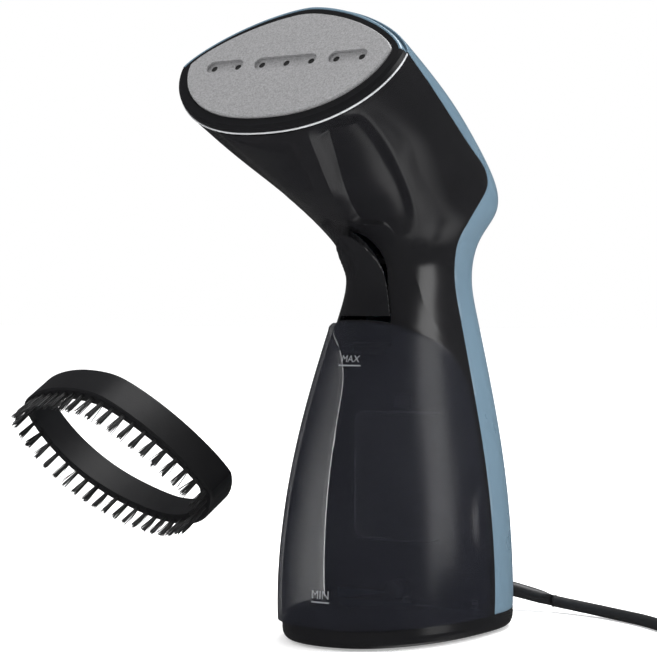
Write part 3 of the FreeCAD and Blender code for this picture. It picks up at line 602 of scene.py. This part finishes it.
def hollow_depth(points):
    """How far the hollow round the trigger sinks, from its outer edge to the trigger's outline."""
    flat = front_view(points)
    outer = side_of(flat, HOLLOW_LINE)
    inner = -side_of(flat, TRIGGER_LINE)
    share = np.clip(-outer, 0, None) / (np.clip(-outer, 0, None) + np.clip(inner, 0.01, None))
    heights, depths = [136.0, 141.0, 150.0, 160.0, 178.0, 186.0], [0.8, 1.0, 1.2, 1.5, 1.8, 1.8]
    deepest = np.interp(points[:, 2], heights, depths)
    inside = (outer < 0) & (points[:, 1] < 8.0) & (points[:, 2] > 130) & (points[:, 2] < 192)
    return np.where(inside, deepest * share ** 0.8, 0.0)


def crease(bm, line):
    """Mark the edges between the vertices of a line as sharp where the body is pressed in."""
    line = set(line)
    edges = [e for e in bm.edges if e.verts[0] in line and e.verts[1] in line]
    if edges:
        middles = np.array([(e.verts[0].co + e.verts[1].co) / 2 for e in edges]) / MM
        for edge, inside in zip(edges, scoop_room(middles)):
            edge.smooth = not inside


def build_front_housing(settings):
    gap = settings.gap / MM / 2
    bm = body_form(settings.rows * (len(STATIONS) - 1), settings.columns)
    keep(bm, lambda p: -behind_seam(p) - gap)
    keep(bm, lambda p: -in_tank(p) - gap)
    keep(bm, behind_rim)
    for line in (LINE_OUTER, LINE_INNER):
        crease(bm, divide(bm, scoop_edge(line)))
    divide(bm, lambda p: side_of(front_view(p), HOLLOW_LINE) + (p[:, 1] > 10) * 50)
    keep(bm, outside_trigger)
    spots = places(bm)
    press(bm, scoop_depth(spots) + hollow_depth(spots))
    roll_rim(bm, 0.12)
    piece = finish_piece(bm, "front_shell", MATERIALS["dark"], "steamer", ("front_housing",))
    thicken(piece, settings.wall)
    return piece


def build_rear_cover(settings):
    gap = settings.gap / MM / 2
    bm = body_form(settings.rows * (len(STATIONS) - 1), settings.columns)
    keep(bm, lambda p: behind_seam(p) - gap)
    keep(bm, behind_rim)
    roll_rim(bm, 0.3)
    piece = finish_piece(bm, "rear_shell", MATERIALS["shell"], "steamer", ("rear_cover",))
    thicken(piece, settings.wall)
    return piece


def build_brow(settings):
    """The rear cover's front edge, a rounded band that frames the steam panel's upper half."""
    section = [(3.0, -5.0), (3.0, -1.6), (3.2, -1.1), (3.6, -0.9), (4.1, -0.95), (4.6, -1.4), (4.9, -2.2),
               (5.0, -5.0)]
    turns = np.linspace(0, math.pi, settings.columns)
    bm = bmesh.new()
    bmesh.ops.create_grid(bm, x_segments=len(section) - 1, y_segments=len(turns) - 1, size=1.0)
    tilt = Matrix.Rotation(HEAD_TILT, 4, "X")
    for vert in bm.verts:
        margin, level = section[int(round((vert.co.x + 1) / 2 * (len(section) - 1)))]
        x, m = eye_top(margin, math.cos(turns[int(round((vert.co.y + 1) / 2 * (len(turns) - 1)))]))
        vert.co = (HEAD_PLACE + tilt @ Vector((x, m, level))) * MM
    bmesh.ops.recalc_face_normals(bm, faces=bm.faces)
    return finish_piece(bm, "rear_shell_brow", MATERIALS["shell"], "steamer", ())


def build_port_shade_discs():
    """Dark discs set just inside the steam holes: painted shade that hides the hole walls so the holes look
    deep and black.
    """
    bm = bmesh.new()
    tilt = Matrix.Rotation(HEAD_TILT, 4, "X")
    for k in range(-3, 4):
        place = HEAD_PLACE + tilt @ Vector((12.6 * k, 0, -2.25))
        bmesh.ops.create_cone(bm, segments=32, cap_ends=True, radius1=1.49, radius2=1.49, depth=1.4,
                              matrix=Matrix.Scale(MM, 4) @ Matrix.Translation(place) @ tilt)
    return finish_piece(bm, "steam_port_painted_shade", MATERIALS["chamber"], "steamer", smooth=False)


def strip_behind_tank(shift, inset, low=9.5, columns=28):
    """The surface that follows the tank's top and back line, moved by shift towards the body."""
    line = TANK_LINE[TANK_LINE[:, 1] > low - 4]
    heading = np.gradient(line, axis=0)
    heading /= np.linalg.norm(heading, axis=1)[:, None]
    line = line + np.stack([-heading[:, 1], heading[:, 0]], -1) * shift
    line[:, 1] = np.maximum(line[:, 1], low)
    wide = half_width(line[:, 0], line[:, 1]) - inset
    line, wide = line[wide > 2.0], wide[wide > 2.0]
    bm = bmesh.new()
    bmesh.ops.create_grid(bm, x_segments=columns, y_segments=len(line) - 1, size=1.0)
    for vert in bm.verts:
        k = int(round((vert.co.y + 1) / 2 * (len(line) - 1)))
        vert.co = Vector((vert.co.x * wide[k], line[k][0], line[k][1])) * MM
    bmesh.ops.remove_doubles(bm, verts=bm.verts, dist=1e-6)
    bmesh.ops.recalc_face_normals(bm, faces=bm.faces)
    if sum(f.normal.y for f in bm.faces) > 0:
        bmesh.ops.reverse_faces(bm, faces=bm.faces)
    return bm


def rounded_block(low, high, radius, open_back=False, segments=5):
    bm = bmesh.new()
    bmesh.ops.create_cube(bm, size=1.0)
    low, high = Vector(low), Vector(high)
    for vert in bm.verts:
        vert.co = [(a + b) / 2 + c * (b - a) for a, b, c in zip(low, high, vert.co)]
    bm.verts.ensure_lookup_table()
    if open_back:
        bmesh.ops.delete(bm, geom=[f for f in bm.faces if f.normal.y > 0.9], context="FACES_ONLY")
    edges = [e for e in bm.edges if not e.is_boundary]
    bmesh.ops.bevel(bm, geom=edges, offset=radius, segments=segments, profile=0.5, affect="EDGES",
                    material=-1)
    for vert in bm.verts:
        vert.co *= MM
    return bm


def build_tank_bay(settings):
    """The dark wall behind the tank, the ceiling over it and the boss that the tank slides over."""
    wall = finish_piece(strip_behind_tank(0.25, 0.35), "tank_bay_wall", MATERIALS["dark"], "steamer")
    thicken(wall, settings.bay_wall)
    boss = rounded_block((-18.5, -1.5, 43.5), (18.5, 8.6, 97.5), 3.0)
    finish_piece(boss, "tank_bay_boss", MATERIALS["dark"], "steamer")


def level_plate(z, thick, back_y, inset):
    """A flat plate across the tank at height z, cut off at back_y."""
    t = float(np.interp(z, TRACKS[1](np.linspace(0, 4, 81)), np.linspace(0, 4, 81)))
    bm = bmesh.new()
    ring = bmesh.ops.create_circle(bm, segments=120, radius=1.0, cap_ends=True)["verts"]
    spots = skin(t, np.linspace(0, 2 * math.pi, 120, endpoint=False), inset)
    for vert, place in zip(ring, spots):
        vert.co = Vector(place) * MM
    bmesh.ops.bisect_plane(bm, geom=bm.verts[:] + bm.edges[:] + bm.faces[:], plane_co=(0, back_y * MM, 0),
                           plane_no=(0, 1, 0), clear_outer=True)
    raised = bmesh.ops.extrude_face_region(bm, geom=bm.faces[:])["geom"]
    for vert in [g for g in raised if isinstance(g, bmesh.types.BMVert)]:
        vert.co.z -= thick * MM
    bmesh.ops.recalc_face_normals(bm, faces=bm.faces)
    return bm


def grip_depth(points):
    """A shallow finger grip low on the tank's side towards +X."""
    inside = np.clip(1 - ((points[:, 2] - 50.0) / 20.0) ** 2, 0.0, 1.0)
    share = ease((points[:, 1] - 7.2 + 12.4 * np.sqrt(inside)) / 4.0)
    return 0.9 * share * inside ** 0.5 * (points[:, 0] > 0)


def build_tank(settings):
    gap = settings.gap / MM / 2
    bm = body_form(settings.rows * 6, settings.columns, 0.0, 6.0)
    keep(bm, lambda p: in_tank(p) - gap)
    keep(bm, lambda p: p[:, 2] - 9.5)
    press(bm, grip_depth(places(bm)))
    roll_rim(bm, 0.1)
    tank = finish_piece(bm, "tank_shell", MATERIALS["smoke"], "tank", ("water_tank",))
    thicken(tank, settings.tank_wall)
    pocket = rounded_block((-21.0, -4.2, 41.2), (21.0, 6.9, 100.0), 4.0, open_back=True)
    inner = MATERIALS["smoke_inner"]
    finish_piece(strip_behind_tank(-0.5, 2.2, 10.0), "tank_back", inner, "tank", ())
    # The pocket's lighter smoke colour is painted highlight along its edges.
    finish_piece(pocket, "tank_pocket", MATERIALS["smoke_edge"], "tank", ())
    finish_piece(level_plate(130.0, 1.8, -5.5, 2.1), "tank_deck", inner, "tank", ())
    finish_piece(level_plate(12.2, 2.2, 6.6, 2.1), "tank_floor", inner, "tank", ())
    level_mark("MAX", 123.4, 3.1, 11.0)
    level_mark("MIN", 22.2, 3.7, 9.0)
    return tank


def level_mark(word, z, high, line_width):
    """A printed level mark, a word over a bar, laid on the tank's front."""
    curve = bpy.data.curves.new("mark", "FONT")
    curve.body, curve.align_x, curve.size, curve.resolution_u = word, "CENTER", high * 1.37 * MM, 2
    text = bpy.data.objects.new("mark", curve)
    mesh = bpy.data.meshes.new_from_object(text)
    bpy.data.objects.remove(text)
    bm = bmesh.new()
    bm.from_mesh(mesh)
    bpy.data.meshes.remove(mesh)
    bar = bmesh.ops.create_grid(bm, x_segments=12, y_segments=1, size=0.5 * MM)["verts"]
    for vert in bar:
        vert.co.x *= line_width
        vert.co.y = vert.co.y * 0.6 - 1.5 * MM
    for vert in bm.verts:
        x, height = vert.co.x / MM + 1.4, z + vert.co.y / MM
        t = float(np.interp(height, TRACKS[1](np.linspace(0, 6, 241)), np.linspace(0, 6, 241)))
        ring = skin(t, np.linspace(0.2, math.pi - 0.2, 361))
        ring = ring[np.argsort(ring[:, 0])]
        vert.co = Vector((x, float(np.interp(x, ring[:, 0], ring[:, 1])) - 0.4, height)) * MM
    bmesh.ops.recalc_face_normals(bm, faces=bm.faces)
    return finish_piece(bm, "level_mark_" + word.lower(), MATERIALS["mark"], "tank")


def build_trigger(settings):
    bm = body_form(settings.rows * 5, settings.columns * 2, 3.5, 8.5)
    keep(bm, lambda p: -outside_trigger(p) - 0.35)
    keep(bm, lambda p: p[:, 2] - 143.7)
    keep(bm, lambda p: -p[:, 1])
    spots = places(bm)
    t = np.linspace(3, 8, 201)
    body_y = np.interp(spots[:, 2], TRACKS[1](t), TRACKS[0](t))
    profile = dense(TRIGGER_FRONT)
    own_y = np.interp(spots[:, 2], profile[:, 1], profile[:, 0])
    for vert, move in zip(bm.verts, own_y - body_y):
        vert.co.y += min(move, 0.6) * MM
    roll_rim(bm, 0.5)
    piece = finish_piece(bm, "trigger_pad", MATERIALS["dark"], "trigger", ("trigger",))
    thicken(piece, 0.005)
    return piece


# ------------------------------------------------------------------ brush
BRUSH_PLACE = Vector((-125.0, -48.5, 79.5))
BRUSH_LONG, BRUSH_OUT = Vector((0.953, -0.011, -0.302)), Vector((-0.196, -0.789, -0.575))


def brush_frame():
    out = BRUSH_OUT - BRUSH_LONG * (BRUSH_OUT @ BRUSH_LONG / BRUSH_LONG.length_squared)
    up = out.cross(BRUSH_LONG)
    axes = Matrix((BRUSH_LONG.normalized(), up.normalized(), out.normalized())).transposed()
    return Matrix.Translation(BRUSH_PLACE) @ axes.to_4x4()


def eye_top(margin, c):
    """A point of the eye outline's upper half; c runs from 1 to -1 across the panel."""
    return (51.5 + margin) * c, 2.5 + (24.5 + margin) * (1 - abs(c) ** 1.6) ** 0.76


def eye_outline(margin, count=400):
    """The steam panel's eye-shaped outline, grown by margin, as points at even spacing."""
    c = np.cos(np.linspace(0, math.pi, 300))
    width, corner = 51.5 + margin, 2.5
    top = np.stack([width * c, corner + (24.5 + margin) * (1 - np.abs(c) ** 1.6) ** 0.76], -1)
    low = np.stack([-width * c, corner - (32.5 + margin) * (1 - np.abs(c) ** 2.3) ** 0.56], -1)
    path = np.concatenate([top, low[1:]])
    way = np.concatenate([[0], np.cumsum(np.hypot(*np.diff(path, axis=0).T))])
    at = np.linspace(0, way[-1], count, endpoint=False)
    return np.stack([np.interp(at, way, path[:, 0]), np.interp(at, way, path[:, 1])], -1)


def build_bristles(settings):
    """Tufts of fibres that stand on the brush's front edge."""
    chance = random.Random(4)
    bm = bmesh.new()
    stand = brush_frame()
    long = settings.length / MM
    for x, m in eye_outline(5.7, settings.tufts):
        for k in range(settings.fibres):
            angle, out = chance.uniform(0, 2 * math.pi), math.sqrt(chance.random())
            stray = 3.2 if k < 3 else 1.0
            root = Vector((x + 0.9 * out * math.cos(angle), m + 0.9 * out * math.sin(angle), -0.5))
            lean = Vector((math.cos(angle), math.sin(angle), 0)) * out * 0.06 * stray
            heading = (Vector((0, 0, 1)) + lean).normalized()
            high = long * chance.uniform(0.9, 1.06)
            turn = heading.to_track_quat("Z", "Y").to_matrix().to_4x4()
            place = Matrix.Translation(root + heading * high / 2) @ turn
            bmesh.ops.create_cone(bm, segments=5, radius1=0.22, radius2=0.18, depth=high,
                                  matrix=Matrix.Scale(MM, 4) @ stand @ place)
    return finish_piece(bm, "bristle_tufts", MATERIALS["bristle"], "brush", ("brush_bristles",))


# ------------------------------------------------------------------ cord
def coil_points(settings):
    """One strand wound up the inside, down the middle and up the outside of a round bundle."""
    radius, pitch = settings.coil_radius / MM, settings.pitch / MM
    low = 2.9
    stations = [(0, 0), (-1, 0), (-1, 1), (-1, 2), (-1, 3), (0, 3), (0, 2), (0, 1), (1, 2), (1, 1)]
    centre, per_turn = (150.5, 62.0), 16
    start = math.atan2(38.5 - centre[1], 131.0 - centre[0])
    end = math.atan2(74.0 - centre[1], 181.0 - centre[0]) + 2 * math.pi
    total = (len(stations) - 2) * 2 * math.pi + (end - start)
    grow = 1 / math.cos(math.pi / per_turn)
    points = []
    count = int(total / (2 * math.pi) * per_turn)
    for k in range(1, count + 1):
        turned = total * k / (count + 1)
        turn, rest = divmod(turned / (2 * math.pi), 1.0)
        here = np.array(stations[int(turn)], float)
        there = np.array(stations[min(int(turn) + 1, len(stations) - 1)], float)
        window = (0.62, 0.84) if int(turn) == 8 else (0.72, 0.97)
        column, row = here + (there - here) * float(ease((rest - window[0]) / (window[1] - window[0])))
        out = (radius + column * pitch) * grow
        points.append((centre[0] + out * math.cos(start + turned), centre[1] + out * math.sin(start + turned),
                       low + row * pitch))
    return points


def build_cord(settings):
    """The cord as one smooth strand: from the sleeve along the floor, round its coil and on to the plug."""
    points = CORD_RUN + coil_points(settings) + CORD_TAIL
    curve = bpy.data.curves.new("mains_cord", "CURVE")
    curve.dimensions = "3D"
    curve.bevel_depth, curve.bevel_resolution = settings.diameter / 2, 6
    curve.resolution_u, curve.use_fill_caps = 6, True
    spline = curve.splines.new("NURBS")
    spline.points.add(len(points) - 1)
    for point, place in zip(spline.points, points):
        point.co = (*(c * MM for c in place), 1.0)
    spline.order_u = 3
    spline.use_endpoint_u = True
    cord = bpy.data.objects.new("mains_cord", curve)
    bpy.context.scene.collection.objects.link(cord)
    curve.materials.append(MATERIALS["cord"])
    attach(cord, "steamer")
    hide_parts("power_cord", "cord_coil", "cord_tail")
    return cord


# ------------------------------------------------------------------ stage
def area_light(name, place, aim, size, power, colour=(1.0, 1.0, 1.0)):
    light = bpy.data.lights.new(name, "AREA")
    light.shape, light.size, light.size_y = "RECTANGLE", *size
    light.energy, light.color = power, colour
    holder = bpy.data.objects.new(name, light)
    holder.location = place
    holder.rotation_euler = (Vector(aim) - Vector(place)).to_track_quat("-Z", "Y").to_euler()
    bpy.context.scene.collection.objects.link(holder)
    return holder


def build_stage():
    scene = bpy.context.scene
    scene.view_settings.view_transform = "Standard"
    scene.view_settings.look = "None"
    floor_mesh = bpy.data.meshes.new("floor")
    bm = bmesh.new()
    bmesh.ops.create_grid(bm, x_segments=2, y_segments=2, size=12.0)
    bm.to_mesh(floor_mesh)
    bm.free()
    floor = bpy.data.objects.new("floor", floor_mesh)
    scene.collection.objects.link(floor)
    pale, surface = shader("pale floor", Roughness=0.9, Specular_IOR_Level=0.0)
    surface.inputs["Base Color"].default_value = (0.94, 0.94, 0.94, 1)
    surface.inputs["Emission Color"].default_value = (1, 1, 1, 1)
    surface.inputs["Emission Strength"].default_value = 0.35
    floor_mesh.materials.append(pale)
    floor.visible_glossy = False
    world = bpy.data.worlds.new("studio")
    scene.world = world
    world.use_nodes = True
    nodes, links = world.node_tree.nodes, world.node_tree.links
    back = nodes["Background"]
    back.inputs["Color"].default_value = (1, 1, 1, 1)
    back.inputs["Strength"].default_value = 1.0
    mirrored = nodes.new("ShaderNodeBackground")
    mirrored.inputs["Color"].default_value = (1, 1, 1, 1)
    heading, aim = nodes.new("ShaderNodeTexCoord"), nodes.new("ShaderNodeVectorMath")
    aim.operation = "DOT_PRODUCT"
    aim.inputs[1].default_value = (0.22, 0.54, -0.81)
    glow = nodes.new("ShaderNodeMapRange")
    for socket, value in (("From Min", 0.915), ("From Max", 0.985), ("To Min", 0.06), ("To Max", 0.9)):
        glow.inputs[socket].default_value = value
    links.new(heading.outputs["Generated"], aim.inputs[0])
    links.new(aim.outputs["Value"], glow.inputs["Value"])
    links.new(glow.outputs["Result"], mirrored.inputs["Strength"])
    ray, mix = nodes.new("ShaderNodeLightPath"), nodes.new("ShaderNodeMixShader")
    links.new(ray.outputs["Is Glossy Ray"], mix.inputs["Fac"])
    links.new(back.outputs["Background"], mix.inputs[1])
    links.new(mirrored.outputs["Background"], mix.inputs[2])
    links.new(mix.outputs["Shader"], nodes["World Output"].inputs["Surface"])
    area_light("top soft light", (0.15, 0.35, 1.5), (0, 0, 0.15), (0.9, 0.9), 30)
    area_light("side strip", (1.05, 0.45, 0.45), (0, 0, 0.12), (0.45, 1.3), 6)
    fill = area_light("front left soft light", (-0.9, -1.0, 0.7), (0, 0, 0.12), (0.8, 0.9), 5)
    fill.visible_glossy = False


def build_camera():
    lens = bpy.data.cameras.new("camera")
    lens.sensor_fit, lens.sensor_width, lens.lens = "HORIZONTAL", 36.0, 109.59
    lens.clip_start, lens.clip_end = 0.05, 60.0
    camera = bpy.data.objects.new("camera", lens)
    camera.location = (0.4847, -0.7709, 0.1465)
    camera.rotation_euler = (math.radians(90 - 0.477), 0.0, math.radians(34.06))
    bpy.context.scene.collection.objects.link(camera)
    bpy.context.scene.camera = camera


# ------------------------------------------------------------------ operators and panel
class STEAMER_OT_materials(bpy.types.Operator):
    """Make the finishes and dress the frame's own parts in them"""

    bl_idname = "steamer.materials"
    bl_label = "Finishes"

    def execute(self, context):
        make_materials(context.scene.steamer_body)
        dress_frame()
        return {"FINISHED"}


class STEAMER_OT_cord(bpy.types.Operator):
    """Lay the mains cord and wind its spare length into a coil"""

    bl_idname = "steamer.cord"
    bl_label = "Cord"

    def execute(self, context):
        build_cord(context.scene.steamer_cord)
        return {"FINISHED"}


class STEAMER_OT_housings(bpy.types.Operator):
    """Build the front housing, the rear cover and the bay behind the tank"""

    bl_idname = "steamer.housings"
    bl_label = "Housings"

    def execute(self, context):
        settings = context.scene.steamer_body
        build_front_housing(settings)
        build_rear_cover(settings)
        build_brow(settings)
        # The steam ports are dark discs of painted shade set into the steam holes.
        build_port_shade_discs()
        build_tank_bay(settings)
        return {"FINISHED"}


class STEAMER_OT_tank(bpy.types.Operator):
    """Build the smoke-tinted water tank"""

    bl_idname = "steamer.tank"
    bl_label = "Water tank"

    def execute(self, context):
        build_tank(context.scene.steamer_body)
        return {"FINISHED"}


class STEAMER_OT_trigger(bpy.types.Operator):
    """Build the trigger"""

    bl_idname = "steamer.trigger"
    bl_label = "Trigger"

    def execute(self, context):
        build_trigger(context.scene.steamer_body)
        return {"FINISHED"}


class STEAMER_OT_bristles(bpy.types.Operator):
    """Set the bristles on the brush attachment"""

    bl_idname = "steamer.bristles"
    bl_label = "Bristles"

    def execute(self, context):
        build_bristles(context.scene.steamer_brush)
        return {"FINISHED"}


class STEAMER_OT_stage(bpy.types.Operator):
    """Set up the floor, the lights and the camera"""

    bl_idname = "steamer.stage"
    bl_label = "Stage"

    def execute(self, context):
        build_stage()
        build_camera()
        return {"FINISHED"}


STEPS = (STEAMER_OT_stage, STEAMER_OT_materials, STEAMER_OT_cord, STEAMER_OT_housings, STEAMER_OT_tank,
         STEAMER_OT_trigger, STEAMER_OT_bristles)
GROUPS = (("steamer_body", BodySettings), ("steamer_cord", CordSettings), ("steamer_brush", BrushSettings))


class STEAMER_PT_panel(bpy.types.Panel):
    """Lists the steamer's building steps and sizes"""

    bl_idname = "STEAMER_PT_panel"
    bl_label = "Garment steamer"
    bl_space_type = "VIEW_3D"
    bl_region_type = "UI"
    bl_category = "Steamer"

    def draw(self, context):
        for step in STEPS:
            self.layout.operator(step.bl_idname)
        for name, group in GROUPS:
            box = self.layout.box()
            for setting in group.__annotations__:
                box.prop(getattr(context.scene, name), setting)


def register():
    for name, group in GROUPS:
        bpy.utils.register_class(group)
        setattr(bpy.types.Scene, name, PointerProperty(type=group))
    for kind in STEPS + (STEAMER_PT_panel,):
        bpy.utils.register_class(kind)


def unregister():
    for kind in reversed(STEPS + (STEAMER_PT_panel,)):
        bpy.utils.unregister_class(kind)
    for name, group in reversed(GROUPS):
        delattr(bpy.types.Scene, name)
        bpy.utils.unregister_class(group)


def main():
    register()
    for step in STEPS:
        group, action = step.bl_idname.split(".")
        getattr(getattr(bpy.ops, group), action)()


if __name__ == "__main__":
    main()
